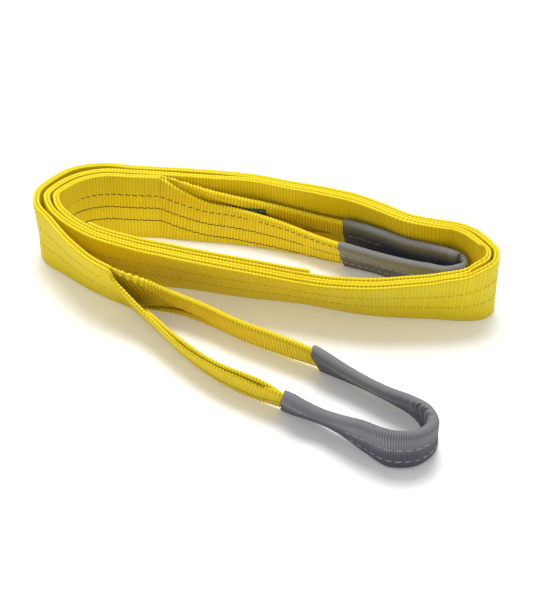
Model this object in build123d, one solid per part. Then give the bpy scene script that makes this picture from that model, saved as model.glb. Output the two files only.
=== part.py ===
"""Two-ply webbing lifting sling with a soft eye at each end, coiled and standing on its edge.

Millimetres, +Z up. The lower edges of the webbing stand on Z = 0, the coil's long axis lies along X, and the
origin is the middle of the footprint. Webbing is followed as a route on the ground: each row of a route is the
lower corner of the band's outer face, with the band's lean, positive away from the middle of the coil.
"""
from build123d import *
import os
from math import cos, hypot, radians, sin

# Webbing
WEB_WIDTH = 90.0
PLY = 3.8
PLY_GAP = 0.5
BODY = 2 * PLY + PLY_GAP

# Wear sleeves, thread and label
SLEEVE_WALL = 1.5
SLEEVE_CLEARANCE = 0.3
THREAD_WIDTH = 1.0
THREAD_PROUD = 0.3
SEWN_GAP = 0.05  # between a sleeve or eye and what is sewn to it
STITCH = 6.5
STITCH_PITCH = 9.0
SLEEVE_ROWS = (0.33, 0.70)  # heights of the sleeve's stitch rows, as a share of its width
SEAM_HEIGHTS = (32.0, 59.0)
SEAM_RUN = 4
SEAM_BREAK = 0.97  # where each run of thread stops in its last stretch
SEAM_STOP = 24.0  # the body's seams stop this far before the free throat
THROAT_ROWS = (5.0, 12.0, 19.0)  # distances of the crosswise rows from the throat
LABEL_LENGTH = 62.0
LABEL_HEIGHTS = (21.0, 56.0)
LABEL_THICKNESS = 0.8
LABEL_HEM = 3.0

# The third layer laid over the coil's inner face on its front side: distances along the body from the inner throat
LAP_START = 225.0
LAP_END = 500.0
LAP_ROWS = (6.0, 14.0)  # crosswise rows of stitches, from each of its ends

# The hinge cut, where the outermost band can peel away from the coil
HINGE_GAP = 1.5

# Middle of the footprint in the routes' own numbers
CENTRE = (-2.3, 2.8)

STEPS = 2  # sections from one point of a route to the next

# Outer of the coil's two full turns, counterclockwise from the back of its left end:
# x, y, lean in degrees, and how far the turn inside it lies
LOOP = [
    (-180, 181, 0, 10.5),
    (-225, 174, 0, 11),
    (-254, 158, -2, 11.5),
    (-271, 132, -2, 11.5),
    (-275, 106, 0, 11.5),
    (-258, 84, 5, 11),
    (-228, 68, 12, 10),
    (-190, 60, 20, 9.9),
    (-140, 62, 28, 9.7),
    (-97, 65, 32, 9.7),
    (-17, 63, 35, 9.7),
    (61, 65, 39, 9.7),
    (101, 61, 38, 9.7),
    (140, 59, 35, 9.7),
    (178, 62, 31, 9.9),
    (215, 67, 27, 10),
    (248, 70, 20, 12),
    (271, 78, 9, 12.5),
    (282, 96, 0, 11.5),
    (278, 121, -6, 11.5),
    (260, 145, -8, 11),
    (235, 159, -9, 10),
    (205, 165, -11, 9.9),
    (178, 172, -13, 9.7),
    (150, 189, -15, 9.7),
    (110, 208, -16, 9.7),
    (60, 218, -16, 9.7),
    (15, 217, -13, 9.7),
    (-35, 213, -7, 9.7),
]
# Where the first turn moves out to become the second, and the second to become the outermost band
FIRST_CROSSING = [(-85, 195, -4), (-130, 187, -1)]
OUTER_BAND = [
    (-85, 206, -3),
    (-130, 198, 0),
    (-180, 192, 0),
    (-230, 188, 0),
    (-262, 172, -1),
    (-282, 142, -2),
    (-288, 110, 0),
    (-277, 87, 4),
    (-240, 62, 12),
    (-200, 38, 20),
    (-165, 22, 26),
    (-141, 13, 28),
]
INNER_THROAT = (-148, 175, 0)
HINGE_POINT = 6  # the point of OUTER_BAND at the extreme left

# Each eye counterclockwise from its throat: x, y, lean, standing width, thickness, height of its lower edge
FREE_EYE = [
    (-93, -31, 29, 54, 6, 0),
    (-45, -75, 28, 46, 9, 0),
    (2, -107, 27, 46, 10, 0),
    (38, -124, 25, 45, 8.5, 1),
    (75, -135.5, 30, 43, 7.6, 3),
    (104, -143, 38, 43, 7.6, 3),
    (140, -161, 33, 45, 7.6, 3),
    (172, -184, 20, 48, 7.6, 3),
    (203, -201, 12, 49, 7.6, 3),
    (227, -195, 8, 48, 7.6, 3),
    (242, -173, 3, 46, 7.6, 3),
    (242, -146, -12, 44, 7.6, 3),
    (222, -114, -32, 43, 7.6, 3),
    (186, -90, -41, 43, 7.6, 3),
    (146, -70, -38, 43, 7.6, 3),
    (104, -51, -31, 43, 7.6, 3),
    (58, -36, -27, 46, 9, 1),
    (8, -18, -27, 47, 10, 0),
    (-40, 5, -28, 50, 8, 0),
    (-85, 20, -29, 58, 6, 0),
]
FREE_MOUTHS = (4, 15)  # the points of FREE_EYE where its sleeve starts and ends
INNER_EYE = [
    (-120, 166, 0, 76, 4, 0),
    (-89, 168, 2, 62, 5, 0),
    (-55, 170, 3, 57, 6.5, 0),
    (-20, 169, 6, 53, 7.6, 0),
    (20, 166, 13, 49, 7.6, 0),
    (60, 159, 22, 46, 7.6, 1),
    (92, 151, 28, 47, 7.6, 3),
    (132, 143, 31, 47, 7.6, 3),
    (165, 132, 28, 47, 7.6, 3),
    (200, 120, 22, 46, 7.6, 4),
    (226, 108, 13, 45, 7.6, 7),
    (242, 109, 4, 46, 7.6, 11),
    (243, 124, -8, 47, 7.6, 15),
    (228, 131, -11, 48, 7.6, 17),
    (204, 138, -11, 47, 7.6, 17),
    (175, 146.5, -13, 47, 7.6, 16),
    (143, 162, -15, 47, 7.6, 15),
    (92, 186, -16, 46, 7.6, 10),
    (58, 194, -16, 50, 7.6, 6),
    (10, 195, -13, 58, 7, 4),
    (-15, 192.2, -10.2, 63, 6.5, 2.4),
    (-40, 188, -7, 68, 6, 1),
    (-90, 181, -3, 78, 4.5, 0),
    (-125, 175, 0, 86, 4, 0),
]
INNER_MOUTHS = (6, 17)
LABEL_POINT = 20  # the label starts at this point of INNER_EYE


def smooth(points, steps=STEPS):
    """Rows on a curve through the points, with steps of them for each stretch."""
    rows = []
    last = len(points) - 1
    for i in range(last):
        before, a, b, after = (points[max(0, min(last, k))] for k in (i - 1, i, i + 1, i + 2))
        spans = [max(hypot(q[0] - p[0], q[1] - p[1]), 1e-6) for p, q in ((before, a), (a, b), (b, after))]
        for step in range(steps):
            t = step / steps
            row = []
            for p, q, r, s in zip(before, a, b, after):
                middle = (r - q) / spans[1]
                first = (q - p) / spans[0] if i else middle
                final = (s - r) / spans[2] if i < last - 1 else middle
                start = (first * spans[1] + middle * spans[0]) / (spans[0] + spans[1]) * spans[1]
                end = (middle * spans[2] + final * spans[1]) / (spans[1] + spans[2]) * spans[1]
                row.append(
                    (2 * t**3 - 3 * t**2 + 1) * q
                    + (t**3 - 2 * t**2 + t) * start
                    + (3 * t**2 - 2 * t**3) * r
                    + (t**3 - t**2) * end
                )
            rows.append(tuple(row))
    rows.append(tuple(float(v) for v in points[-1]))
    return rows


def outward(rows, first=None, last=None):
    """The level unit vector to the right of the direction of travel at each row, unless it is given at an end."""
    vectors = []
    for i in range(len(rows)):
        a, b = rows[max(0, i - 1)], rows[min(len(rows) - 1, i + 1)]
        length = hypot(b[0] - a[0], b[1] - a[1])
        vectors.append(((b[1] - a[1]) / length, (a[0] - b[0]) / length))
    vectors[0] = first or vectors[0]
    vectors[-1] = last or vectors[-1]
    return vectors


def opposite(vector):
    return -vector[0], -vector[1]


def inset(points):
    """The route of the turn that stands inside the given one, a pitch away from it."""
    return [
        (p[0] - n[0] * p[3] / cos(radians(p[2])), p[1] - n[1] * p[3] / cos(radians(p[2])), p[2])
        for p, n in zip(points, outward(points))
    ]


def corner(row, normal, up, out):
    """The point up the band's outer face and out from it, square to the face."""
    lean = radians(row[2])
    reach = up * sin(lean) + out * cos(lean)
    return Vector(row[0] + normal[0] * reach, row[1] + normal[1] * reach, row[3] + up * cos(lean) - out * sin(lean))


def sections(rows, edges, ends=(None, None)):
    """Four corners square to the route at each row; edges gives a row's low, high, inner and outer sides."""
    result = []
    for row, normal in zip(rows, outward(rows, *ends)):
        low, high, inner, outer = edges(row)
        sides = ((low, inner), (low, outer), (high, outer), (high, inner))
        result.append([corner(row, normal, up, out) for up, out in sides])
    return result


def between(a, b, share):
    """The section a share of the way from one section to the next, on the flat faces between them."""
    return [p + (q - p) * share for p, q in zip(a, b)]


def loft(corners):
    return Solid.make_loft([Wire.make_polygon(points, close=True) for points in corners], ruled=True)


def band(rows, edges, ends=(None, None)):
    return loft(sections(rows, edges, ends))


def stand(rows, thickness=BODY):
    """Body rows with the height of the outer face's lower corner, so that a band leaning inward stands on Z = 0."""
    return [(x, y, lean, max(0.0, -sin(radians(lean))) * thickness) for x, y, lean in rows]


def stand_eye(points):
    """Eye rows as x, y, lean, height of the outer lower corner, standing width and thickness."""
    rows = []
    for x, y, lean, width, thickness, height in smooth(points):
        low = max(0.0, height) + max(0.0, -sin(radians(lean))) * thickness
        rows.append((x, y, lean, low, width, thickness))
    return rows


def lengths(rows):
    """The distance along the route to each row."""
    total = [0.0]
    for a, b in zip(rows, rows[1:]):
        total.append(total[-1] + hypot(b[0] - a[0], b[1] - a[1]))
    return total


def place(along, distance):
    """The stretch that a distance falls in, and how far along that stretch."""
    for i in range(1, len(along)):
        if along[i] >= distance or i == len(along) - 1:
            return i - 1, (distance - along[i - 1]) / (along[i] - along[i - 1])


def cut(rows, start, end):
    """The stretch of a route between two distances."""
    along = lengths(rows)
    inside = [row for row, s in zip(rows, along) if start + 0.5 < s < end - 0.5]
    tips = []
    for distance in (start, end):
        i, share = place(along, distance)
        tips.append(tuple(p + (q - p) * share for p, q in zip(rows[i], rows[i + 1])))
    return [tips[0]] + inside + [tips[1]]


def ply(rows, inner, outer, ends=(None, None)):
    return band(rows, lambda row: (0, WEB_WIDTH, inner, outer), ends)


def seam(rows, height, ends):
    """Thread along the outer face, in runs of up to SEAM_RUN stretches with a short break between them."""
    edge = THREAD_WIDTH / 2
    face = SEWN_GAP
    line = sections(rows, lambda row: (height - edge, height + edge, face, face + THREAD_PROUD), ends)
    runs = []
    for i in range(0, len(line) - 1, SEAM_RUN):
        run = line[i : i + SEAM_RUN + 1]
        runs.append(loft(run[:-1] + [between(run[-2], run[-1], SEAM_BREAK)]))
    return runs


def stitches(rows, edges):
    """Separate stitches along a band, each within one of its flat stretches."""
    line = sections(rows, edges)
    along = lengths(rows)
    solids = []
    for i in range(len(rows) - 1):
        length = along[i + 1] - along[i]
        count = round(length / STITCH_PITCH)
        for k in range(count):
            start = (k + 0.5) / count - STITCH / 2 / length
            end = (k + 0.5) / count + STITCH / 2 / length
            solids.append(loft([between(line[i], line[i + 1], start), between(line[i], line[i + 1], end)]))
    return solids


def cross_rows(rows, distances, inner, outer, width=WEB_WIDTH):
    """Rows of stitches across a band, at distances along it."""
    along = lengths(rows)
    solids = []
    count = int(width / STITCH_PITCH)
    for k in range(count):
        low = (width - count * STITCH_PITCH) / 2 + k * STITCH_PITCH + (STITCH_PITCH - STITCH) / 2
        line = sections(rows, lambda row: (low, low + STITCH, inner, outer))
        for distance in distances:
            ends = []
            for where in (distance - THREAD_WIDTH / 2, distance + THREAD_WIDTH / 2):
                i, share = place(along, where)
                ends.append(between(line[i], line[i + 1], share))
            solids.append(loft(ends))
    return solids


def save(name, solids):
    solids = [s.moved(Location((-CENTRE[0], -CENTRE[1], 0))) for s in solids]
    shape = solids[0] if len(solids) == 1 else Compound(children=solids)
    shape.label = name
    export_step(shape, f"parts/{name}.step")
    return shape


def body_routes():
    """The whole body in one route, cut square at the hinge: the coil, the tail that the free eye hangs on, and
    the outward vector at the cut."""
    points = [INNER_THROAT] + inset(LOOP) + FIRST_CROSSING + [p[:3] for p in LOOP] + OUTER_BAND
    rows = stand(smooth(points))
    along = lengths(rows)
    at = (len(points) - len(OUTER_BAND) + HINGE_POINT) * STEPS
    coil = cut(rows, 0.0, along[at] - HINGE_GAP / 2)
    tail = cut(rows, along[at] + HINGE_GAP / 2, along[-1])
    return coil, tail, outward(rows)[at]


def eye(points, throat, normal, body_first):
    """Rows of an eye from the near face of its throat right round to the far face.

    The body's outer ply runs into the eye's first leg when the eye is at the end of the route, and into its last
    leg when it is at the start."""
    near = corner(throat, normal, 0, 0)
    far = corner(throat, normal, 0, -BODY)
    lean = throat[2]
    if body_first:
        first = (near.X, near.Y, lean, WEB_WIDTH, PLY, near.Z)
        last = (far.X, far.Y, -lean, WEB_WIDTH, PLY, far.Z - max(0.0, sin(radians(lean))) * PLY)
    else:
        first = (far.X, far.Y, -lean, WEB_WIDTH, PLY, far.Z)
        last = (near.X, near.Y, lean, WEB_WIDTH, PLY, near.Z)
    return stand_eye([first] + points + [last])


def eye_band(rows, ends):
    return band(rows, lambda row: (0, row[4], -row[5], 0), ends)


def sleeve_rows(rows, mouths):
    """The rows between the mouths; the throat row put before the eye's points shifts them by one."""
    return rows[(mouths[0] + 1) * STEPS : (mouths[1] + 1) * STEPS + 1]


def sleeve(rows):
    gap = SLEEVE_CLEARANCE
    wall = gap + SLEEVE_WALL
    outside = band(rows, lambda row: (-wall, row[4] + wall, -row[5] - wall, wall))
    inside = band(rows, lambda row: (-gap, row[4] + gap, -row[5] - gap, gap))
    return outside - inside


def sleeve_stitches(rows):
    """The rows of stitches along the sleeve's outer face."""
    face = SLEEVE_CLEARANCE + SLEEVE_WALL + SEWN_GAP
    edge = THREAD_WIDTH / 2
    solids = []
    for share in SLEEVE_ROWS:
        solids += stitches(
            rows, lambda row: (row[4] * share - edge, row[4] * share + edge, face, face + THREAD_PROUD)
        )
    return solids


def main():
    os.makedirs("parts", exist_ok=True)
    coil, tail, square = body_routes()
    coil_length, tail_length = lengths(coil)[-1], lengths(tail)[-1]

    made = {}
    sewn = cut(tail, 0.0, tail_length - SEAM_STOP)
    for name, rows, seamed, ends in (("body", coil, coil, (None, square)), ("tail", tail, sewn, (square, None))):
        made[f"{name}_outer_ply"] = [ply(rows, -PLY, 0, ends)]
        made[f"{name}_inner_ply"] = [ply(rows, -BODY, -PLY - PLY_GAP, ends)]
        made[f"{name}_seam_stitching"] = [run for height in SEAM_HEIGHTS for run in seam(seamed, height, ends)]

    lap = cut(coil, LAP_START, LAP_END)
    lap_face = -BODY - PLY_GAP - PLY
    made["webbing_lap"] = [ply(lap, lap_face, lap_face + PLY)]
    lap_length = lengths(lap)[-1]
    lap_rows = LAP_ROWS + tuple(lap_length - d for d in LAP_ROWS)
    made["lap_stitching"] = cross_rows(lap, lap_rows, lap_face - THREAD_PROUD, lap_face)

    free_throat, inner_throat = outward(tail)[-1], outward(coil)[0]
    free = eye(FREE_EYE, tail[-1], free_throat, True), (free_throat, opposite(free_throat)), FREE_MOUTHS
    inner = eye(INNER_EYE, coil[0], inner_throat, False), (opposite(inner_throat), inner_throat), INNER_MOUTHS
    for name, (rows, ends, mouths) in (("free_eye", free), ("inner_eye", inner)):
        made[f"{name}_webbing"] = [eye_band(rows, ends)]
        covered = sleeve_rows(rows, mouths)
        made[f"{name}_sleeve"] = [sleeve(covered)]
        made[f"{name}_sleeve_stitching"] = sleeve_stitches(covered)
        print(name, "webbing", round(lengths(rows)[-1]), "sleeve", round(lengths(covered)[-1]))

    from_throat = tuple(tail_length - d for d in THROAT_ROWS)
    made["free_throat_stitching"] = cross_rows(tail, from_throat, 0, THREAD_PROUD)
    made["inner_throat_stitching"] = cross_rows(coil, THROAT_ROWS, -BODY - THREAD_PROUD, -BODY)

    start = lengths(inner[0])[(LABEL_POINT + 1) * STEPS]
    label = cut(inner[0], start, start + LABEL_LENGTH)
    back = 2 * SEWN_GAP
    front = back + LABEL_THICKNESS
    made["identification_label"] = [band(label, lambda row: (*LABEL_HEIGHTS, -row[5] - front, -row[5] - back))]
    border = []
    for height in (LABEL_HEIGHTS[0] + LABEL_HEM, LABEL_HEIGHTS[1] - LABEL_HEM):
        low, high = height - THREAD_WIDTH / 2, height + THREAD_WIDTH / 2
        border += stitches(label, lambda row: (low, high, -row[5] - front - THREAD_PROUD, -row[5] - front))
    made["label_stitching"] = border

    print("body in the coil", round(coil_length), "and in the tail", round(tail_length))
    for name, solids in made.items():
        save(name, solids)


main()
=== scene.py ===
"""A two-ply webbing sling with sleeved eyes, coiled on its edge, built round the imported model.

Lengths in the routes are millimetres; Blender objects are in metres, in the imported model's frame.
"""

import bmesh
import bpy
import numpy as np
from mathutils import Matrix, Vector

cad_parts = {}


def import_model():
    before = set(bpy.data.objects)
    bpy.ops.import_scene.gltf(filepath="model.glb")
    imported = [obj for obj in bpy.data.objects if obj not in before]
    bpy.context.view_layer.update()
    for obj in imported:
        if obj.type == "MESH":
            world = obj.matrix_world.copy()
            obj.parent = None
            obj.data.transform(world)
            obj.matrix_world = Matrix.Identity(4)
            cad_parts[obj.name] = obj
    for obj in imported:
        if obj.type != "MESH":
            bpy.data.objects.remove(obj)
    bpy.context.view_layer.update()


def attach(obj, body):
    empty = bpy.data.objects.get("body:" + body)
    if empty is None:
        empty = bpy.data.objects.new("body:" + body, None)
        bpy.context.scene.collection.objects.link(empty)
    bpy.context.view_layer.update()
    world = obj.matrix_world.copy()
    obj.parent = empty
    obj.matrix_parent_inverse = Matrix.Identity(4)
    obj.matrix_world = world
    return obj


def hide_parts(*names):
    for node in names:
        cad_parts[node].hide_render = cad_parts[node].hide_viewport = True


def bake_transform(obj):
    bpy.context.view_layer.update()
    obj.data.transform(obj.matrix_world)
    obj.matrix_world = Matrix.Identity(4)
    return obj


MM = 0.001

# Webbing
WEB = 90.0
PLY = 3.8
PLY_GAP = 0.5
BODY = 2 * PLY + PLY_GAP
RIB = 4.0
RIB_DEPTH = 0.24
EYE_RIB_DEPTH = 0.62
FOLD_RADIUS = 2.1
PRESSED = 0.35  # how much flatter a folded web is inside its sleeve
STRIPES = (27.0, 45.0, 63.0)  # marker stripes, from the upper edge
STRIPE_DASH = 9.0
STRIPE_GAPS = (0.2, -0.08, -0.1)  # each stripe is blank where the wave along its dashes is below this
FREE_MARKED = (40.0, 50.0)  # the free eye's web shows its stripes only between these
FREE_SHIFT = 14.5  # how far across its web the free eye's weave is moved
FOLD_ONSET = 14.0  # how much narrower than the webbing an eye is where its folds are full
SLEEVE_ROOM = 9.0  # how much narrower than its sleeve a folded web is, at least
MOUTH_EASE = 12.0  # a folded web slims down over this distance from the sleeve's end

# Sleeves, thread and label
SLEEVE_RIB = 2.1
SLEEVE_RIB_DEPTH = 0.17
SLEEVE_WALL = 1.2
SLEEVE_PAINTED_TOP = 43.0  # round the sleeve to the middle of its top, where painted light makes it palest
SLEEVE_SHADE = 108.0  # round the sleeve from one such middle to the next: the period of the painted light and shade
FREE_SLANT = 13
STITCH = 6.5
STITCH_PITCH = 9.0
THREAD = 0.55
SEAM_THREAD = 0.28
SEAM_STITCH = 8.2
SLEEVE_THREAD = 0.5
SLEEVE_STITCH = 7.8
THROAT_THREAD = 0.4
LABEL_THREAD = 0.35
LABEL_MARGIN = 3
SEAM_HEIGHTS = (32.0, 59.0)
THROAT_ROWS = (5.0, 12.0, 19.0)
LAP_START = 225.0
LAP_END = 500.0
LAP_ROWS = (6.0, 14.0)
LABEL_LENGTH = 62.0
LABEL_HEIGHTS = (21.0, 56.0)
LABEL_THICKNESS = 0.8

CENTRE = (-2.3, 2.8)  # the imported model's origin, as the routes below are drawn
BEND = 34.0  # half the length of the piece that bends at the hinge
SEAM_STOP = 24.0  # the seams stop this far before the free throat
ROWS_PER_POINT = 24

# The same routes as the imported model's: x, y, lean and pitch of the coil's outer turn, then of what joins it
LOOP = [
    (-180, 181, 0, 10.5),
    (-225, 174, 0, 11),
    (-254, 158, -2, 11.5),
    (-271, 132, -2, 11.5),
    (-275, 106, 0, 11.5),
    (-258, 84, 5, 11),
    (-228, 68, 12, 10),
    (-190, 60, 20, 9.9),
    (-140, 62, 28, 9.7),
    (-97, 65, 32, 9.7),
    (-17, 63, 35, 9.7),
    (61, 65, 39, 9.7),
    (101, 61, 38, 9.7),
    (140, 59, 35, 9.7),
    (178, 62, 31, 9.9),
    (215, 67, 27, 10),
    (248, 70, 20, 12),
    (271, 78, 9, 12.5),
    (282, 96, 0, 11.5),
    (278, 121, -6, 11.5),
    (260, 145, -8, 11),
    (235, 159, -9, 10),
    (205, 165, -11, 9.9),
    (178, 172, -13, 9.7),
    (150, 189, -15, 9.7),
    (110, 208, -16, 9.7),
    (60, 218, -16, 9.7),
    (15, 217, -13, 9.7),
    (-35, 213, -7, 9.7),
]
FIRST_CROSSING = [(-85, 195, -4), (-130, 187, -1)]
OUTER_BAND = [
    (-85, 206, -3),
    (-130, 198, 0),
    (-180, 192, 0),
    (-230, 188, 0),
    (-262, 172, -1),
    (-282, 142, -2),
    (-288, 110, 0),
    (-277, 87, 4),
    (-240, 62, 12),
    (-200, 38, 20),
    (-165, 22, 26),
    (-141, 13, 28),
]
INNER_THROAT = (-148, 175, 0)
HINGE_POINT = 6  # of the outer band

# Eyes: x, y, lean, standing width, thickness, height of the lower edge
FREE_EYE = [
    (-93, -31, 29, 54, 6, 0),
    (-45, -75, 28, 46, 9, 0),
    (2, -107, 27, 46, 10, 0),
    (38, -124, 25, 45, 8.5, 1),
    (75, -135.5, 30, 43, 7.6, 3),
    (104, -143, 38, 43, 7.6, 3),
    (140, -161, 33, 45, 7.6, 3),
    (172, -184, 20, 48, 7.6, 3),
    (203, -201, 12, 49, 7.6, 3),
    (227, -195, 8, 48, 7.6, 3),
    (242, -173, 3, 46, 7.6, 3),
    (242, -146, -12, 44, 7.6, 3),
    (222, -114, -32, 43, 7.6, 3),
    (186, -90, -41, 43, 7.6, 3),
    (146, -70, -38, 43, 7.6, 3),
    (104, -51, -31, 43, 7.6, 3),
    (58, -36, -27, 46, 9, 1),
    (8, -18, -27, 47, 10, 0),
    (-40, 5, -28, 50, 8, 0),
    (-85, 20, -29, 58, 6, 0),
]
FREE_MOUTHS = (4, 15)  # the points where the sleeve starts and ends
FREE_MOUTH_LIP = 5.0  # how far the sleeve's first end reaches before its point
INNER_EYE = [
    (-120, 166, 0, 76, 4, 0),
    (-89, 168, 2, 62, 5, 0),
    (-55, 170, 3, 57, 6.5, 0),
    (-20, 169, 6, 53, 7.6, 0),
    (20, 166, 13, 49, 7.6, 0),
    (60, 159, 22, 46, 7.6, 1),
    (92, 151, 28, 47, 7.6, 3),
    (132, 143, 31, 47, 7.6, 3),
    (165, 132, 28, 47, 7.6, 3),
    (200, 120, 22, 46, 7.6, 4),
    (226, 108, 13, 45, 7.6, 7),
    (242, 109, 4, 46, 7.6, 11),
    (243, 124, -8, 47, 7.6, 15),
    (228, 131, -11, 48, 7.6, 17),
    (204, 138, -11, 47, 7.6, 17),
    (175, 146.5, -13, 47, 7.6, 16),
    (143, 162, -15, 47, 7.6, 15),
    (92, 186, -16, 46, 7.6, 10),
    (58, 194, -16, 50, 7.6, 6),
    (10, 195, -13, 58, 7, 4),
    (-15, 192.2, -10.2, 63, 6.5, 2.4),
    (-40, 188, -7, 68, 6, 1),
    (-90, 181, -3, 78, 4.5, 0),
    (-125, 175, 0, 86, 4, 0),
]
INNER_MOUTHS = (6, 17)
LABEL_POINT = 20  # of the inner eye, where the label starts

# Along each eye's web: share of the way round, share of the spare cloth folded at the top, how far the outer
# face's top edge stays below the flap behind it, and how many degrees the flaps stand off
FREE_FOLDS = (
    (0, 0.0, 1.5, 0),
    (0.26, 0.0, 1.5, 0),
    (0.3, 0.2, 0, 0),
    (0.36, 0.5, 0, 0),
    (0.55, 0.5, 0, 0),
    (0.62, 0.68, 0, 4),
    (0.92, 0.68, 0, 5),
    (1, 0.9, 0, 5),
)
INNER_FOLDS = ((0, 0.5, 0, 0.6), (1, 0.5, 0, 0.6))


# ---------------------------------------------------------------- routes


def smooth(points):
    """Rows on a curve through the points, ROWS_PER_POINT from each point to the next."""
    p = np.array(points, float)
    span = np.maximum(np.hypot(*np.diff(p[:, :2], axis=0).T), 1e-6)
    slope = np.diff(p, axis=0) / span[:, None]
    tangent = np.empty_like(p)
    tangent[0], tangent[-1] = slope[0], slope[-1]
    before, after = span[:-1, None], span[1:, None]
    tangent[1:-1] = (slope[:-1] * after + slope[1:] * before) / (before + after)
    t = (np.arange(ROWS_PER_POINT) / ROWS_PER_POINT)[None, :, None]
    a, b = p[:-1, None], p[1:, None]
    length = span[:, None, None]
    rows = (
        (2 * t**3 - 3 * t**2 + 1) * a
        + (t**3 - 2 * t**2 + t) * tangent[:-1, None] * length
        + (3 * t**2 - 2 * t**3) * b
        + (t**3 - t**2) * tangent[1:, None] * length
    )
    return np.vstack([rows.reshape(-1, p.shape[1]), p[-1:]])


def right_of(d):
    """Level unit vectors to the right of the given ones."""
    d = d / np.hypot(d[:, 0], d[:, 1])[:, None]
    return np.stack([d[:, 1], -d[:, 0]], axis=1)


def inset(points):
    """The turn that stands inside the given one, a pitch away from it."""
    plan = np.array(points, float)[:, :2]
    travel = np.vstack([plan[1:2] - plan[0:1], plan[2:] - plan[:-2], plan[-1:] - plan[-2:-1]])
    moved = []
    for p, n in zip(points, right_of(travel)):
        reach = p[3] / np.cos(np.radians(p[2]))
        moved.append((p[0] - n[0] * reach, p[1] - n[1] * reach, p[2]))
    return moved


def bend_radius(along, rows, n):
    """The radius of each bend towards the band's inner side, evened out over 15 mm."""
    even = np.arange(0, along[-1] + 1, 1.0)
    x, y, nx, ny = (np.interp(even, along, v) for v in (rows[:, 0], rows[:, 1], n[:, 0], n[:, 1]))
    bend = np.gradient(nx) * np.gradient(x) + np.gradient(ny) * np.gradient(y)
    bend = np.convolve(bend, np.ones(15) / 15, mode="same")
    return np.interp(along, even, 1 / np.maximum(bend, 0.002))


class Route:
    """A band's line, resampled at even steps.

    s is the distance at each step, base the place of the lower edge, and up and out the vectors up the face
    and out from it. column has the rows' own values: x, y, lean, low edge, and an eye's width and thickness.
    """

    def __init__(self, rows, step, start_normal=None, end_normal=None):
        along = np.concatenate([[0], np.cumsum(np.hypot(*np.diff(rows[:, :2], axis=0).T))])
        n = right_of(np.gradient(rows[:, :2], axis=0))
        if start_normal is not None:
            self.pull(n, along, start_normal)
        if end_normal is not None:
            self.pull(n[::-1], along[-1] - along[::-1], end_normal)
        self.radius = bend_radius(along, rows, n)
        self.full = along[-1]
        self.source = along
        self.rows = rows
        self.n = n
        self.step = step
        self.set(0.0, self.full)

    @staticmethod
    def pull(n, along, given):
        """Turns the normals near an end to the given one."""
        w = np.clip(1 - along / 25.0, 0, 1)[:, None]
        w = w * w * (3 - 2 * w)
        n[:] = n * (1 - w) + np.array(given) * w
        n /= np.hypot(n[:, 0], n[:, 1])[:, None]

    def set(self, start, end):
        """Covers the distance from start to end."""
        count = max(2, int(round((end - start) / self.step)) + 1)
        self.s = np.linspace(start, end, count)
        self.column = [np.interp(self.s, self.source, self.rows[:, k]) for k in range(self.rows.shape[1])]
        x, y, lean, low = self.column[:4]
        self.base = np.stack([x - CENTRE[0], y - CENTRE[1], low], axis=1)
        n = self.normal(self.s)
        lean = np.radians(lean)[:, None]
        zero = np.zeros((count, 1))
        self.up = np.hstack([n * np.sin(lean), zero + np.cos(lean)])
        self.out = np.hstack([n * np.cos(lean), zero - np.sin(lean)])

    def normal(self, s):
        """Level unit vectors out from the band at any distances."""
        n = np.stack([np.interp(s, self.source, self.n[:, k]) for k in (0, 1)], axis=-1)
        return n / np.hypot(n[..., 0], n[..., 1])[..., None]

    def part(self, start, end, step=None):
        """A copy that covers only some of the distance, at steps of its own if they're given."""
        copy = object.__new__(Route)
        copy.__dict__.update(self.__dict__)
        copy.step = step or self.step
        copy.set(start, end)
        return copy

    def at_point(self, point):
        """The distance of one of the eye's points; the throat comes before the first."""
        return float(self.source[(point + 1) * ROWS_PER_POINT])

    def locate(self, s, up, out):
        """Places at any distances, up the face and out from it, squeezed together inside a tight bend."""
        x, y, lean, low = (np.interp(s, self.source, self.rows[:, k]) for k in range(4))
        lean = np.radians(lean)
        reach = up * np.sin(lean) + out * np.cos(lean)
        radius = np.interp(s, self.source, self.radius)
        past = np.maximum(-reach - 0.6 * radius, 0) / (0.34 * radius)
        reach = np.where(past > 0, -radius * (0.6 + 0.34 * (1 - np.exp(-past))), reach)
        level = np.stack([x - CENTRE[0], y - CENTRE[1]], axis=-1) + self.normal(s) * reach[..., None]
        height = low + up * np.cos(lean) - out * np.sin(lean)
        return np.concatenate([level, height[..., None]], axis=-1)

    def points(self, up, out):
        """Places up the face and out from it, each given per station and per profile point."""
        return self.locate(np.broadcast_to(self.s[:, None], up.shape), up, out)


def body_rows():
    """The body's rows from the inner throat to the free one, and which of them is at the hinge."""
    points = [INNER_THROAT] + inset(LOOP) + FIRST_CROSSING + [p[:3] for p in LOOP] + OUTER_BAND
    rows = smooth(points)
    low = np.maximum(0, -np.sin(np.radians(rows[:, 2]))) * BODY
    return np.column_stack([rows, low]), (len(points) - len(OUTER_BAND) + HINGE_POINT) * ROWS_PER_POINT


def corner(row, normal, up, out):
    """The place up and out from the lower edge of a row."""
    lean = np.radians(row[2])
    reach = up * np.sin(lean) + out * np.cos(lean)
    x, y = row[0] + normal[0] * reach, row[1] + normal[1] * reach
    return x, y, row[3] + up * np.cos(lean) - out * np.sin(lean)


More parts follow.
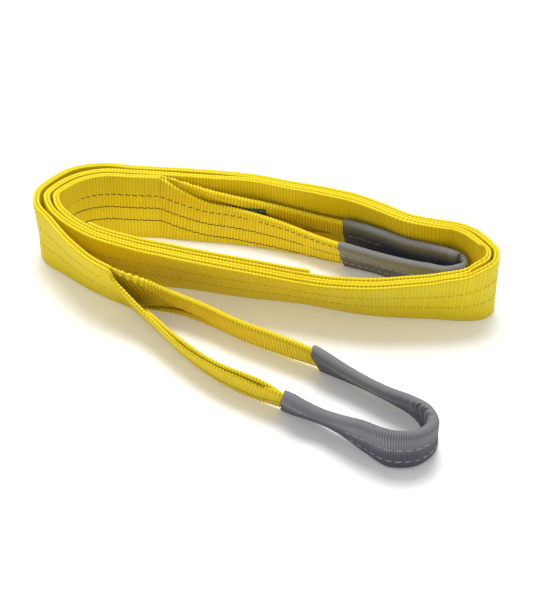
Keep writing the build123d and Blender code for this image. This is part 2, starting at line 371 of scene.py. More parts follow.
def eye_route(points, throat, normal, body_first, step):
    """An eye's route from one face of the body's throat row round to the other.

    body_first is true where the eye carries on from the body, and false where it comes before it.
    """
    near = corner(throat, normal, 0, 0)
    far = corner(throat, normal, 0, -BODY)
    lean = throat[2]
    back = (-normal[0], -normal[1])
    near_row = (near[0], near[1], lean, WEB, PLY, near[2])
    far_row = (far[0], far[1], -lean, WEB, PLY, far[2])
    if body_first:
        far_row = far_row[:5] + (far[2] - max(0.0, np.sin(np.radians(lean))) * PLY,)
        ends = (near_row, far_row)
        given = (normal, back)
    else:
        ends = (far_row, near_row)
        given = (back, normal)
    rows = smooth([ends[0]] + points + [ends[1]])
    low = np.maximum(0, rows[:, 5]) + np.maximum(0, -np.sin(np.radians(rows[:, 2]))) * rows[:, 4]
    ordered = np.column_stack([rows[:, :3], low, rows[:, 3:5]])
    return Route(ordered, step, *given)


# ---------------------------------------------------------------- meshes


def wobble(places, up):
    """Slow bulges of the webbing's face, the same for neighbouring turns."""
    x, y = places[:, 0][:, None], places[:, 1][:, None]
    belly = np.sin(np.pi * np.clip(up / WEB, 0, 1))
    slow = np.sin(x / 47 + 0.8) + 0.7 * np.sin(x / 23 + y / 31 + 2.1)
    return 0.55 * belly * slow + 0.35 * np.sin(2 * np.pi * up / WEB + x / 60)


def lattice(name, loops, values, material, ring=False):
    """A closed skin through loops of points, with a weave attribute: along, across and marking.

    Its ends are capped, unless it's a ring, whose last loop joins the first.
    """
    count, size = loops.shape[:2]
    index = np.arange(count * size).reshape(count, size)
    a, b = (index, np.roll(index, -1, axis=0)) if ring else (index[:-1], index[1:])
    quads = np.stack([a, np.roll(a, -1, axis=1), np.roll(b, -1, axis=1), b], axis=-1).reshape(-1, 4)
    faces = quads.tolist()
    if not ring:
        faces.append(index[0][::-1].tolist())
        faces.append(index[-1].tolist())
    return finish_mesh(name, loops.reshape(-1, 3), faces, values.reshape(-1, 3), material)


def finish_mesh(name, vertices, faces, values, material):
    """An object from millimetres and faces, with its normals outward and its weave attribute."""
    mesh = bpy.data.meshes.new(name)
    mesh.from_pydata((vertices * MM).tolist(), [], faces)
    layer = mesh.attributes.new("weave", "FLOAT_VECTOR", "POINT")
    layer.data.foreach_set("vector", np.ascontiguousarray(values, dtype=np.float32).ravel())
    mesh.validate()
    b = bmesh.new()
    b.from_mesh(mesh)
    bmesh.ops.recalc_face_normals(b, faces=b.faces)
    b.to_mesh(mesh)
    b.free()
    mesh.shade_smooth()
    obj = bpy.data.objects.new(name, mesh)
    bpy.context.scene.collection.objects.link(obj)
    obj.data.materials.append(material)
    return obj


def flat_profile():
    """Up the outer face and down the inner one of a ply, with rounded selvedges: up, out, side."""
    ups = np.array([0.9, 2.2, 8, 18, 28, 38, 48, 58, 68, 78, 87.8, 89.1])
    outer = [(u, PLY / 2, 1) for u in ups]
    inner = [(u, -PLY / 2, -1) for u in ups[::-1]]
    top = [(89.8, 1.15, 0), (WEB, 0, 0), (89.8, -1.15, 0)]
    bottom = [(0.2, -1.15, 0), (0, 0, 0), (0.2, 1.15, 0)]
    return np.array(outer + top + inner + bottom, float)


def ply(name, route, out, material, marks=(0.0, 0.0), bulge=1.0):
    """One layer of webbing along a route; out is where its outer face lies."""
    profile = flat_profile()
    shape = (len(route.s), len(profile))
    up = np.broadcast_to(profile[:, 0], shape).copy()
    side = profile[:, 2]
    rib = np.cos(2 * np.pi * route.s / RIB)[:, None] * RIB_DEPTH
    offset = out - PLY / 2 + profile[:, 1] + rib * np.sign(profile[:, 1])
    offset = offset + wobble(route.base, up) * bulge
    up += np.where(profile[:, 0] > 89.5, rib * 0.7, 0) + np.where(profile[:, 0] < 0.5, 0.1 + rib * 0.4, 0)
    values = np.zeros(shape + (3,))
    values[..., 0] = route.s[:, None]
    values[..., 1] = WEB - profile[:, 0]
    fade = 0.12 + 0.88 * np.clip((420 - route.s) / 160, 0, 1)[:, None]
    values[..., 2] = np.where(side > 0, marks[0], np.where(side < 0, marks[1] * fade, 0))
    return lattice(name, route.points(up, offset), values, material)


def fold_line(width, share, drop, spread, inside):
    """The middle line of a web folded inward at its top and bottom: up and out at even steps across it.

    share is the top flap's part of the cloth to spare, and drop lowers the outer face's top edge below the
    flap behind it; inside is 1 in the sleeve, where the fold is pressed flat.
    """
    samples = 44
    reach = np.clip((WEB - width) / FOLD_ONSET, 0, 1)
    radius = FOLD_RADIUS * reach * (1 - PRESSED * inside)
    top_on = np.clip(share * 6, 0, 1)
    bottom_on = np.clip((1 - share) * 6, 0, 1)
    rt, rb = radius * top_on, radius * bottom_on
    high = width - rt - PLY / 2 * reach * top_on - drop * reach
    low = rb + PLY / 2 * reach * bottom_on
    room = 0.92 * (high - low) + (1 - inside) * (1 - share) * (2 * drop + 8)
    spare = np.clip(WEB - (high - low) - np.pi * (rt + rb), 0, room)
    ft, fb = spare * share, spare * (1 - share)
    angle = np.linspace(0, np.pi, 9)
    lean = np.radians(spread) * reach
    points = [(high - ft * np.cos(lean), -2 * rt - ft * np.sin(lean))]
    points += [(high + rt * np.sin(t), -rt - rt * np.cos(t)) for t in angle]
    points += [(low - rb * np.sin(t), -rb + rb * np.cos(t)) for t in angle]
    points += [(low + fb * np.cos(lean), -2 * rb - fb * np.sin(lean))]
    p = np.array(points)
    gap = np.hypot(*np.diff(p, axis=0).T)
    along = np.concatenate([[0], np.cumsum(gap + 1e-9)])
    even = np.linspace(0, along[-1], samples)
    return np.stack([np.interp(even, along, p[:, 0]), np.interp(even, along, p[:, 1])], axis=1), even


def folded(name, route, folds, material, mark, phase, mouths, cover_width, shift):
    """An eye's web, flat at its throat, folded inward along its legs, and slimmer than its sleeve inside it.

    phase and shift move the weave along and across it, and mark says where its stripes show.
    """
    loops_up, loops_out, weave = [], [], []
    full = route.s[-1]
    knots, *settings = zip(*folds)
    for i, s in enumerate(route.s):
        width = route.column[4][i]
        share, drop, spread = (float(np.interp(s / full, knots, values)) for values in settings)
        inside = np.clip(min(s - mouths[0], mouths[1] - s) / MOUTH_EASE, 0, 1)
        covered = (s - mouths[0]) / (mouths[1] - mouths[0])
        room = cover_width(np.clip(covered, 0, 1)) - SLEEVE_ROOM
        slim = width + (min(width, room) - width) * inside
        line, across = fold_line(slim, share, drop, spread * (1 - inside), inside)
        line = line + np.array([(width - slim) / 2, -0.8 * inside])
        d = np.gradient(line, axis=0)
        d /= np.maximum(np.hypot(d[:, 0], d[:, 1]), 1e-9)[:, None]
        normal = np.stack([d[:, 1], -d[:, 0]], axis=1)
        pressed = 1 - PRESSED * inside
        uneven = 0.85 + 0.3 * np.sin(s / 7.3) * np.sin(s / 3.1 + across / 9)
        rib = np.cos(2 * np.pi * (s + phase + 0.1 * across) / RIB) * EYE_RIB_DEPTH * pressed * uneven
        half = (PLY / 2 * pressed + rib)[:, None]
        centre = line - np.array([0, PLY / 2])
        outer = centre + normal * half
        inner = centre - normal * half
        tip = centre[0] - d[0] * (0.9 + rib[0])
        tail = centre[-1] + d[-1] * (0.9 + rib[-1])
        loop = np.vstack([outer, tail, inner[::-1], tip])
        loops_up.append(loop[:, 0])
        loops_out.append(loop[:, 1])
        a = np.concatenate([across, [across[-1]], across[::-1], [0]]) + shift
        m = np.concatenate([[mark(s / full, v + shift) for v in across], [0], np.zeros(len(across)), [0]])
        weave.append(np.stack([s + phase + 0.1 * (a - shift), a, m], axis=1))
    up = np.maximum(np.array(loops_up), 0.0)
    return lattice(name, route.points(up, np.array(loops_out)), np.array(weave), material)


def stadium(width, thickness, count):
    """Points round a flat tube, rounded at its top and bottom: up from its middle, out from its middle."""
    r = thickness / 2
    straight = max(width - thickness, 0.1)
    total = 2 * straight + 2 * np.pi * r
    t = np.arange(count) / count * total
    up, out = np.empty(count), np.empty(count)
    for i, v in enumerate(t):
        if v < straight:
            up[i], out[i] = v - straight / 2, r
        elif v < straight + np.pi * r:
            angle = (v - straight) / r
            up[i], out[i] = straight / 2 + r * np.sin(angle), r * np.cos(angle)
        elif v < 2 * straight + np.pi * r:
            up[i], out[i] = straight / 2 - (v - straight - np.pi * r), -r
        else:
            angle = (v - 2 * straight - np.pi * r) / r
            up[i], out[i] = -straight / 2 - r * np.sin(angle), -r * np.cos(angle)
    return up, out, t


def sleeve(name, route, material, width, thickness, creases, slant):
    """A tube of woven sleeve round the folded web.

    width, thickness and creases are functions of the share of its length, and slant is how much further along
    its first mouth's top begins.
    """
    count = 48
    start, end = route.s[0], route.s[-1]
    shares = (route.s - start) / (end - start)
    skins = []
    for inside in (False, True):
        ups, outs, alongs, values = [], [], [], []
        for i, s in enumerate(route.s):
            share = shares[i]
            w, t = width(share), thickness(share)
            cut = 2 * SLEEVE_WALL if inside else 0
            up, out, around = stadium(w - cut, t - cut, count)
            if not inside:
                grow = np.cos(2 * np.pi * s / SLEEVE_RIB) * SLEEVE_RIB_DEPTH + creases(share, s, out)
                size = np.maximum(np.hypot(up, out), 1)
                round_top = np.abs(up) > (w - t) / 2
                up, out = up + np.where(round_top, up / size, 0) * grow, out + np.sign(out) * grow
            ups.append(up + route.column[4][i] / 2)
            outs.append(out - route.column[5][i] / 2)
            ragged = 0.9 * np.sin(around / 4.1) + 0.6 * np.sin(around / 1.7 + 1)
            lip = np.exp(-(s - start) / 5) - np.exp(-(end - s) / 5)
            alongs.append(s + slant * (0.5 + up / w) * max(0.0, 1 - share / 0.13) + ragged * lip)
            values.append(np.stack([alongs[-1], around, np.zeros(count)], axis=1))
        skin = route.locate(np.array(alongs), np.array(ups), np.array(outs))
        skin[..., 2] = np.maximum(skin[..., 2], 0.3 + (0.8 * SLEEVE_WALL if inside else 0))
        skins.append((skin, np.array(values)))
    (outer, outer_values), (inner, inner_values) = skins
    loops = np.concatenate([outer, inner[::-1]])
    data = np.concatenate([outer_values, inner_values[::-1]])
    return lattice(name, loops, data, material, ring=True)


def stitch_shapes(route, spots):
    """Small rounded stitches; each spot has two ends, as distance, height and out, and a radius."""
    vertices, faces = [], []
    ring = 8
    for (s0, up0, out0), (s1, up1, out1), radius in spots:
        base = []
        for k in range(7):
            t = k / 6
            s = s0 + (s1 - s0) * t
            up, out = up0 + (up1 - up0) * t, out0 + (out1 - out0) * t
            rise = np.sin(np.pi * t) ** 0.5 if 0 < t < 1 else 0
            centre = [np.interp(s, route.s, route.base[:, c]) for c in range(3)]
            up_v = np.array([np.interp(s, route.s, route.up[:, c]) for c in range(3)])
            out_v = np.array([np.interp(s, route.s, route.out[:, c]) for c in range(3)])
            place = np.array(centre) + up_v * up + out_v * (out + (rise - 1) * radius)
            base.append((place, up_v, out_v, rise))
        start = len(vertices)
        direction = base[-1][0] - base[0][0]
        direction /= np.linalg.norm(direction)
        for place, up_v, out_v, rise in base:
            side = np.cross(out_v, direction)
            side /= np.linalg.norm(side)
            r = radius * (0.35 + 0.65 * rise)
            for j in range(ring):
                angle = 2 * np.pi * j / ring
                vertices.append(place + side * r * np.cos(angle) + out_v * r * 0.75 * np.sin(angle))
        for k in range(6):
            for j in range(ring):
                a, b = start + k * ring + j, start + k * ring + (j + 1) % ring
                faces.append([a, b, b + ring, a + ring])
        faces.append([start + j for j in range(ring)][::-1])
        faces.append([start + 6 * ring + j for j in range(ring)])
    return np.array(vertices), faces


def stitching(name, route, spots, material):
    """One piece from all the stitches at the spots."""
    vertices, faces = stitch_shapes(route, spots)
    return finish_mesh(name, vertices, faces, np.zeros((len(vertices), 3)), material)


def run_of_stitches(start, end, height, out, radius=THREAD, stitch=STITCH):
    """Spots for a row of stitches along a route; height and out are functions of the distance."""
    spots = []
    count = int((end - start) / STITCH_PITCH)
    for k in range(count):
        s0 = start + (k + 0.5) * (end - start) / count - stitch / 2
        s1 = s0 + stitch
        spots.append(((s0, height(s0), out(s0)), (s1, height(s1), out(s1)), radius))
    return spots


def crosswise(distances, out, radius=THREAD):
    """Spots for rows of stitches across the webbing at the given distances."""
    spots = []
    count = int(WEB / STITCH_PITCH)
    first = (WEB - count * STITCH_PITCH) / 2 + (STITCH_PITCH - STITCH) / 2
    for s in distances:
        for k in range(count):
            low = first + k * STITCH_PITCH
            spots.append(((s, low, out), (s + 0.01, low + STITCH, out), radius))
    return spots


# ---------------------------------------------------------------- materials


class Nodes:
    """A material's node tree, with short calls for the nodes that repeat."""

    def __init__(self, name):
        self.material = bpy.data.materials.new(name)
        self.material.use_nodes = True
        self.tree = self.material.node_tree
        self.shader = self.tree.nodes["Principled BSDF"]

    def link(self, value, socket):
        if isinstance(value, bpy.types.NodeSocket):
            self.tree.links.new(value, socket)
        else:
            socket.default_value = value

    def math(self, operation, a, b=0.0, clamp=False):
        node = self.tree.nodes.new("ShaderNodeMath")
        node.operation = operation
        node.use_clamp = clamp
        self.link(a, node.inputs[0])
        self.link(b, node.inputs[1])
        return node.outputs[0]

    def mix(self, factor, a, b):
        node = self.tree.nodes.new("ShaderNodeMix")
        node.data_type = "RGBA"
        self.link(factor, node.inputs["Factor"])
        self.link(a, node.inputs[6])
        self.link(b, node.inputs[7])
        return node.outputs[2]

    def noise(self, vector, scale, detail=2.0):
        node = self.tree.nodes.new("ShaderNodeTexNoise")
        self.link(vector, node.inputs["Vector"])
        node.inputs["Scale"].default_value = scale
        node.inputs["Detail"].default_value = detail
        return node.outputs["Fac"]

    def ramp(self, value, low, high):
        """0 below low, 1 above high, and smooth between them."""
        node = self.tree.nodes.new("ShaderNodeMapRange")
        node.interpolation_type = "SMOOTHSTEP"
        self.link(value, node.inputs["Value"])
        node.inputs["From Min"].default_value = low
        node.inputs["From Max"].default_value = high
        return node.outputs["Result"]

    def weave(self):
        """The mesh's own weave: along, across and how strongly it is marked."""
        node = self.tree.nodes.new("ShaderNodeAttribute")
        node.attribute_name = "weave"
        split = self.tree.nodes.new("ShaderNodeSeparateXYZ")
        self.tree.links.new(node.outputs["Vector"], split.inputs[0])
        return split.outputs[0], split.outputs[1], split.outputs[2]

    def place(self):
        return self.tree.nodes.new("ShaderNodeTexCoord").outputs["Object"]

    def wave(self, value, period, phase=0.0):
        """A cosine of a length, from 0 to 1."""
        angle = self.math("MULTIPLY_ADD", value, 2 * np.pi / period)
        angle.node.inputs[2].default_value = phase
        cosine = self.math("COSINE", angle)
        half = self.math("MULTIPLY_ADD", cosine, 0.5)
        half.node.inputs[2].default_value = 0.5
        return half

    def bump(self, height, distance, strength):
        node = self.tree.nodes.new("ShaderNodeBump")
        node.inputs["Strength"].default_value = strength
        node.inputs["Distance"].default_value = distance
        self.link(height, node.inputs["Height"])
        self.tree.links.new(node.outputs[0], self.shader.inputs["Normal"])


def webbing_material(name, shade):
    """Yellow polyester webbing, with painted shade in the furrows between its ribs; shade is how dark that
    painted shade is.
    """
    n = Nodes(name)
    along, across, mark = n.weave()
    place = n.place()
    rib = n.wave(along, RIB)
    warp = n.wave(across, 1.5)
    twill = n.wave(n.math("ADD", n.math("MULTIPLY", along, 0.75), across), 3.0)
    slow = n.noise(place, 22.0, 3.0)
    fine = n.noise(place, 900.0, 2.0)
    bright = (0.84, 0.66, 0.006, 1)
    painted_furrow_shade = (0.62, 0.42, 0.004, 1)
    base = n.mix(n.ramp(slow, 0.3, 0.7), bright, (0.80, 0.67, 0.02, 1))
    # Painted shade in the furrows between the ribs.
    base = n.mix(n.math("MULTIPLY", n.math("SUBTRACT", 1.0, rib), shade), base, painted_furrow_shade)
    base = n.mix(n.math("MULTIPLY", warp, 0.16), base, (0.55, 0.40, 0.006, 1))
    base = n.mix(n.math("MULTIPLY", n.ramp(fine, 0.55, 0.8), 0.4), base, (0.92, 0.85, 0.2, 1))
    dash = n.math("FRACT", n.math("DIVIDE", along, STRIPE_DASH))
    wander = n.math("MULTIPLY", n.math("SUBTRACT", dash, 0.5), 1.3)
    stripe = None
    for centre, gap in zip(STRIPES, STRIPE_GAPS):
        off = n.math("ABSOLUTE", n.math("SUBTRACT", n.math("ADD", across, wander), centre))
        line = n.math("SUBTRACT", 1.0, n.ramp(off, 0.42, 0.9))
        dashes = n.ramp(n.wave(along, STRIPE_DASH, np.pi), gap, gap + 0.1)
        line = n.math("MULTIPLY", line, dashes)
        stripe = line if stripe is None else n.math("MAXIMUM", stripe, line)
    worn = n.ramp(n.noise(place, 38.0, 2.0), 0.24, 0.42)
    ink = n.math("MULTIPLY", stripe, n.math("MULTIPLY", mark, worn), clamp=True)
    base = n.mix(ink, base, (0.012, 0.011, 0.008, 1))
    n.link(base, n.shader.inputs["Base Color"])
    n.shader.inputs["Roughness"].default_value = 0.62
    n.shader.inputs["Sheen Weight"].default_value = 0.03
    n.shader.inputs["Sheen Roughness"].default_value = 0.5
    n.shader.inputs["Specular IOR Level"].default_value = 0.15
    height = n.math("ADD", n.math("MULTIPLY", twill, 0.6), n.math("MULTIPLY", warp, 0.4))
    height = n.math("ADD", height, n.math("MULTIPLY", fine, 0.5))
    n.bump(height, 0.00022, 0.9)
    return n.material


def sleeve_material():
    """Grey woven sleeve, with painted light along its top, so its sides stay darker as if in shade, and
    painted shade in the furrows between its ribs.
    """
    n = Nodes("sleeve")
    along, around, _ = n.weave()
    place = n.place()
    rib = n.wave(along, SLEEVE_RIB)
    cross = n.wave(around, 1.8)
    slow = n.noise(place, 18.0, 3.0)
    fine = n.noise(place, 700.0, 2.0)
    # Painted light: the sleeve's top is made paler and its sides stay darker, as if lit from overhead.
    top = n.wave(n.math("SUBTRACT", around, SLEEVE_PAINTED_TOP), SLEEVE_SHADE)
    base = n.mix(n.ramp(slow, 0.3, 0.7), (0.018, 0.022, 0.045, 1), (0.045, 0.048, 0.07, 1))
    base = n.mix(n.math("MULTIPLY", n.ramp(top, 0.5, 1.0), 0.8), base, (0.25, 0.255, 0.26, 1))
    # Painted shade in the furrows between the ribs.
    base = n.mix(n.math("MULTIPLY", n.math("SUBTRACT", 1.0, rib), 0.55), base, (0.035, 0.036, 0.05, 1))
    base = n.mix(n.math("MULTIPLY", n.math("MULTIPLY", rib, cross), 0.36), base, (0.33, 0.33, 0.34, 1))
    base = n.mix(n.math("MULTIPLY", n.ramp(fine, 0.55, 0.8), 0.25), base, (0.30, 0.30, 0.31, 1))
    n.link(base, n.shader.inputs["Base Color"])
    n.shader.inputs["Roughness"].default_value = 0.7
    n.shader.inputs["Sheen Weight"].default_value = 0.15
    n.shader.inputs["Specular IOR Level"].default_value = 0.3
    n.bump(n.math("ADD", n.math("MULTIPLY", cross, 0.6), n.math("MULTIPLY", fine, 0.5)), 0.0003, 0.9)
    return n.material


def thread_material(name, light, dark):
    n = Nodes(name)
    place = n.place()
    uneven = n.ramp(n.noise(place, 260.0, 2.0), 0.3, 0.7)
    n.link(n.mix(uneven, dark, light), n.shader.inputs["Base Color"])
    n.shader.inputs["Roughness"].default_value = 0.55
    n.bump(n.noise(place, 1400.0, 1.0), 0.0002, 0.7)
    return n.material


def label_material():
    n = Nodes("label")
    along, across, _ = n.weave()
    place = n.place()
    grid = n.math("MULTIPLY", n.wave(along, 0.9), n.wave(across, 0.9))
    uneven = n.ramp(n.noise(place, 60.0, 2.0), 0.35, 0.7)
    base = n.mix(uneven, (0.014, 0.06, 0.05, 1), (0.02, 0.045, 0.07, 1))
    base = n.mix(n.math("MULTIPLY", grid, 0.35), base, (0.05, 0.11, 0.16, 1))
    n.link(base, n.shader.inputs["Base Color"])
    n.shader.inputs["Roughness"].default_value = 0.6
    n.bump(grid, 0.0002, 0.6)
    return n.material


def floor_material():
    n = Nodes("floor")
    place = n.place()
    tone = n.ramp(n.noise(place, 3.0, 2.0), 0.2, 0.8)
    n.link(n.mix(tone, (0.93, 0.93, 0.93, 1), (0.96, 0.96, 0.96, 1)), n.shader.inputs["Base Color"])
    n.shader.inputs["Roughness"].default_value = 0.9
    n.shader.inputs["Emission Color"].default_value = (1, 1, 1, 1)
    n.shader.inputs["Emission Strength"].default_value = 0.16
    return n.material


# ---------------------------------------------------------------- camera and light


def add_camera():
    """The viewpoint: 12 degrees round to the right, 36 above the floor, 1.8 m from the target."""
    azimuth, elevation, distance = np.radians(12), np.radians(36), 1.8
    picture_height, pixels_per_mm = 594, 0.85
    target = Vector(((21 - CENTRE[0]) * MM, (30 - CENTRE[1]) * MM, 30 * MM))
    away = Vector(
        (np.sin(azimuth) * np.cos(elevation), -np.cos(azimuth) * np.cos(elevation), np.sin(elevation))
    )
    data = bpy.data.cameras.new("camera")
    data.sensor_width = 36.0
    data.lens = pixels_per_mm * distance / MM * data.sensor_width / picture_height
    camera = bpy.data.objects.new("camera", data)
    camera.location = target + away * distance
    camera.rotation_euler = (-away).to_track_quat("-Z", "Y").to_euler()
    bpy.context.scene.collection.objects.link(camera)
    bpy.context.scene.camera = camera


def add_light(name, location, target, size, power):
    """A round soft light; its size is in metres and its power in watts."""
    data = bpy.data.lights.new(name, "AREA")
    data.shape = "DISK"
    data.size = size
    data.energy = power
    light = bpy.data.objects.new(name, data)
    light.location = location
    light.rotation_euler = (Vector(target) - Vector(location)).to_track_quat("-Z", "Y").to_euler()
    bpy.context.scene.collection.objects.link(light)


def add_surroundings():
    """A pale floor, an even sky and one soft light overhead."""
    mesh = bpy.data.meshes.new("floor")
    size = 30.0
    corners = [(-size, -size, 0), (size, -size, 0), (size, size, 0), (-size, size, 0)]
    mesh.from_pydata(corners, [], [(0, 1, 2, 3)])
    floor = bpy.data.objects.new("floor", mesh)
    mesh.materials.append(floor_material())
    bpy.context.scene.collection.objects.link(floor)
    world = bpy.data.worlds.new("studio")
    bpy.context.scene.world = world
    world.use_nodes = True
    world.node_tree.nodes["Background"].inputs[0].default_value = (1, 1, 1, 1)
    world.node_tree.nodes["Background"].inputs[1].default_value = 0.5
    add_light("overhead", (-0.1, 0.5, 1.7), (0, 0.05, 0), 1.3, 36)
    bpy.context.scene.view_settings.view_transform = "Standard"


# ---------------------------------------------------------------- the sleeves' shapes


def curve(*knots):
    """A function of the share of a length, straight between its knots."""
    at, values = zip(*knots)
    return lambda share: float(np.interp(share, at, values))


free_width = curve(
    (0, 47),
    (0.04, 50),
    (0.08, 47),
    (0.12, 40),
    (0.16, 37),
    (0.21, 42),
    (0.28, 54),
    (0.36, 58),
    (0.44, 52),
    (0.54, 47),
    (0.66, 47),
    (0.8, 44),
    (0.88, 44),
    (0.94, 51),
    (1, 55),
)
free_thickness = curve(
    (0, 14), (0.04, 16), (0.09, 15), (0.15, 13), (0.4, 12.5), (0.6, 13), (0.85, 12.5), (0.94, 14), (1, 14)
)
inner_width = curve((0, 51), (0.3, 50), (0.5, 50), (1, 51))
inner_thickness = curve((0, 11.6), (1, 11.6))

# Rows of stitches: height from the middle as a share of the width, side, and the shares of the length between
# which they run
FREE_STITCHES = ((-0.24, 1, 0.24, 0.7), (0.1, 1, 0.24, 0.7))
INNER_STITCHES = (
    (-0.2, 1, 0.0, 1.0),
    (0.14, 1, 0.0, 1.0),
    (0.1, -1, 0.83, 0.98),
    (-0.2, -1, 0.83, 0.98),
)


def free_crease(share, s, out):
    """Crumples on the inner side of the free eye's bight."""
    near = np.exp(-(((share - 0.565) / 0.045) ** 2))
    return np.where(out < 0, near * (3.4 - 3.2 * np.abs(np.sin(s / 3.6)) ** 4), 0)


def inner_crease(share, s, out):
    """Slighter crumples on the inner side of the inner eye's bight."""
    near = np.exp(-(((share - 0.52) / 0.06) ** 2))
    return np.where(out < 0, near * (0.5 - 1.2 * np.abs(np.sin(s / 3.1)) ** 4), 0)


def sleeve_spots(route, width, thickness, rows_of_stitches):
    """Spots for the rows of stitches on a sleeve."""
    start, length = route.s[0], route.s[-1] - route.s[0]
    spots = []
    for share, side, first, last in rows_of_stitches:

        def height(s):
            middle = float(np.interp(s, route.s, route.column[4])) / 2
            return middle + share * width((s - start) / length)

        def out(s):
            middle = -float(np.interp(s, route.s, route.column[5])) / 2
            return middle + side * (thickness((s - start) / length) / 2 + 0.15)

        begins, ends = start + first * length, start + last * length
        spots += run_of_stitches(begins, ends, height, out, SLEEVE_THREAD, SLEEVE_STITCH)
    return spots


# ---------------------------------------------------------------- the sling


def lay(obj, body, slot, *nodes):
    """Hands a finished piece to its body, in place of its CAD nodes; slot is not used."""
    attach(obj, body)
    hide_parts(*nodes)
    return obj


def lay_across_hinge(obj):
    """Bakes the transform of a piece from the coil to the free end, along the stretch round the hinge, into
    its mesh.
    """
    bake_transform(obj)


def on_face(route, height, proud):
    """The outer face's place at a height, with its slow bulges."""
    bulge = wobble(route.base, np.full((len(route.s), 1), height))[:, 0]
    return lambda s: float(np.interp(s, route.s, bulge)) + proud


def add_body(coil, bend, tail):
    """Both plies and their seams, in three stretches: coil, round the hinge, and tail.

    It gives back the outer ply's material, which the lap shares.
    """
    # The plies' materials differ only in how dark the painted shade in their rib furrows is.
    outer_web = webbing_material("webbing", 0.38)
    inner_web = webbing_material("inner_webbing", 0.7)
    plies = (("outer", 0.0, outer_web, (0.1, 0.0)), ("inner", -PLY - PLY_GAP, inner_web, (0.0, 1.0)))
    for layer, out, cloth, marks in plies:
        piece = ply(f"coil_{layer}_ply", coil, out, cloth, marks)
        lay(piece, "coil", "webbing", f"body_{layer}_ply")
        piece = ply(f"tail_{layer}", tail, out, cloth, marks)
        lay(piece, "free_end", "webbing", f"tail_{layer}_ply")
        piece = ply(f"bend_{layer}_ply", bend, out, cloth, marks)
        lay_across_hinge(piece)

    gold = thread_material("gold_thread", (0.30, 0.21, 0.01, 1), (0.13, 0.09, 0.01, 1))

    def seams(name, route, end):
        spots = []
        for height in SEAM_HEIGHTS:
            face = on_face(route, height, 0.2)
            spots += run_of_stitches(route.s[0], end, lambda s: height, face, SEAM_THREAD, SEAM_STITCH)
        return stitching(name, route, spots, gold)

    lay(seams("coil_seam_stitching", coil, coil.s[-1]), "coil", "thread", "body_seam_stitching")
    piece = seams("bend_seam_stitching", bend, bend.s[-1])
    lay_across_hinge(piece)
    piece = seams("tail_seam_threads", tail, tail.s[-1] - SEAM_STOP)
    lay(piece, "free_end", "thread", "tail_seam_stitching")
    return outer_web


def add_lap(body, web, thread):
    """The lap of webbing inside the coil, with its crosswise rows at both ends."""
    lap_out = -BODY - PLY_GAP
    lap = body.part(LAP_START, LAP_END)
    piece = lay(ply("lap_webbing", lap, lap_out, web), "coil", "webbing", "webbing_lap")
    distances = [LAP_START + d for d in LAP_ROWS] + [LAP_END - d for d in LAP_ROWS]
    spots = crosswise(distances, lap_out - PLY - 0.2)
    lay(stitching("lap_threads", lap, spots, thread), "coil", "thread", "lap_stitching")


def add_throats(coil, tail, thread):
    """The crosswise rows where the eyes' legs join the body."""
    spots = crosswise([tail.s[-1] - d for d in THROAT_ROWS], 0.25, THROAT_THREAD)
    lay(stitching("free_throat_threads", tail, spots, thread), "free_end", "thread", "free_throat_stitching")
    spots = crosswise(THROAT_ROWS, -BODY - 0.25, THROAT_THREAD)
    lay(stitching("inner_throat_threads", coil, spots, thread), "coil", "thread", "inner_throat_stitching")


def add_eyes(free, inner, body_length, cream):
    """Both eyes' folded webs, then their sleeves with their stitches."""

    def free_mark(share, across):
        return 1.0 if share < 0.4 and FREE_MARKED[0] < across < FREE_MARKED[1] else 0.0

    def inner_mark(share, across):
        return 1.0 if share < 0.45 else 0.05

    # The eye's web has the darkest painted shade in its rib furrows.
    web = webbing_material("eye_webbing", 1.0)
    free_ends = [free.at_point(m) for m in FREE_MOUTHS]
    free_ends[0] -= FREE_MOUTH_LIP
    inner_ends = [inner.at_point(m) for m in INNER_MOUTHS]
    piece = folded(
        "free_eye_web", free, FREE_FOLDS, web, free_mark, body_length, free_ends, free_width, FREE_SHIFT
    )
    lay(piece, "free_end", "webbing", "free_eye_webbing")
    piece = folded(
        "inner_eye_web", inner, INNER_FOLDS, web, inner_mark, -inner.full, inner_ends, inner_width, 0.0
    )
    lay(piece, "coil", "webbing", "inner_eye_webbing")

    grey = sleeve_material()
    pale = thread_material("pale_thread", (0.56, 0.56, 0.60, 1), (0.36, 0.36, 0.40, 1))
    step = 0.6
    free_shape = (free_width, free_thickness, free_crease, FREE_SLANT)
    inner_shape = (inner_width, inner_thickness, inner_crease, 0)
    for name, route, rides, shape, rows_of_stitches, thread in (
        ("free_eye", free.part(*free_ends, step), "free_end", free_shape, FREE_STITCHES, pale),
        ("inner_eye", inner.part(*inner_ends, step), "coil", inner_shape, INNER_STITCHES, cream),
    ):
        piece = sleeve(f"{name}_cover", route, grey, *shape)
        lay(piece, rides, "sleeve", f"{name}_sleeve")
        spots = sleeve_spots(route, *shape[:2], rows_of_stitches)
        piece = stitching(f"{name}_threads", route, spots, thread)
        lay(piece, rides, "thread", f"{name}_sleeve_stitching")


def label_depth(width, up):
    """How far out the label's back lies, on the top flap, whose edge depends on the width, or below it."""
    flap_edge = 1.46 * width - 43
    slope, web_face, flap_proud = 7, -4.7, 4.2
    t = np.clip((up - flap_edge + slope) / slope, 0, 1)
    return web_face - flap_proud * t * t * (3 - 2 * t)


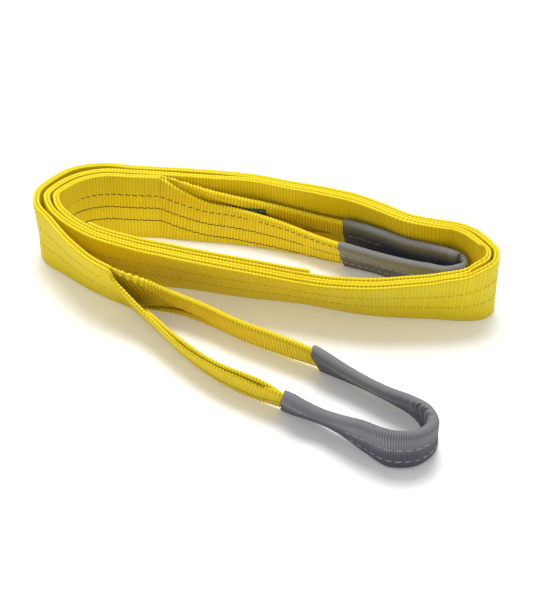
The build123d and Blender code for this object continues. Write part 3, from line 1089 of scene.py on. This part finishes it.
def label(name, route, material):
    """A thin sewn-on patch on the leg's inner side, lying down from the top flap to the web behind it."""
    ups = np.linspace(*LABEL_HEIGHTS, 15)
    profile = np.array([(u, 1) for u in ups] + [(u, 0) for u in ups[::-1]], float)
    shape = (len(route.s), len(profile))
    up = np.broadcast_to(profile[:, 0], shape)
    depth = label_depth(route.column[4][:, None], up) - LABEL_THICKNESS * profile[:, 1]
    values = np.zeros(shape + (3,))
    values[..., 0] = route.s[:, None]
    values[..., 1] = profile[:, 0]
    return lattice(name, route.points(up, depth), values, material)


def add_label(inner, thread):
    """The label on the inner eye's back leg, with a row of stitches along each long side."""
    start = inner.at_point(LABEL_POINT)
    tag = inner.part(start, start + LABEL_LENGTH)
    piece = lay(label("label_blank", tag, label_material()), "coil", "label", "identification_label")
    spots = []
    for height in (LABEL_HEIGHTS[0] + LABEL_MARGIN, LABEL_HEIGHTS[1] - LABEL_MARGIN):

        def front(s):
            return label_depth(np.interp(s, tag.s, tag.column[4]), height) - LABEL_THICKNESS - 0.1

        spots += run_of_stitches(start, start + LABEL_LENGTH, lambda s: height, front, LABEL_THREAD)
    lay(stitching("label_threads", tag, spots, thread), "coil", "thread", "label_stitching")


def main():
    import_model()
    add_camera()
    add_surroundings()

    step = 1.0
    rows, hinge_row = body_rows()
    body = Route(rows, step)
    hinge = float(body.source[hinge_row])
    coil = body.part(0.0, hinge - BEND)
    bend = body.part(hinge - BEND, hinge + BEND)
    tail = body.part(hinge + BEND, body.full)
    free = eye_route(FREE_EYE, rows[-1], body.n[-1], True, step)
    inner = eye_route(INNER_EYE, rows[0], body.n[0], False, step)

    yellow = thread_material("yellow_thread", (0.86, 0.68, 0.05, 1), (0.60, 0.44, 0.01, 1))
    cream = thread_material("cream_thread", (0.52, 0.48, 0.30, 1), (0.34, 0.30, 0.16, 1))
    web = add_body(coil, bend, tail)
    add_lap(body, web, yellow)
    add_throats(coil, tail, yellow)
    add_eyes(free, inner, body.full, cream)
    add_label(inner, cream)


main()
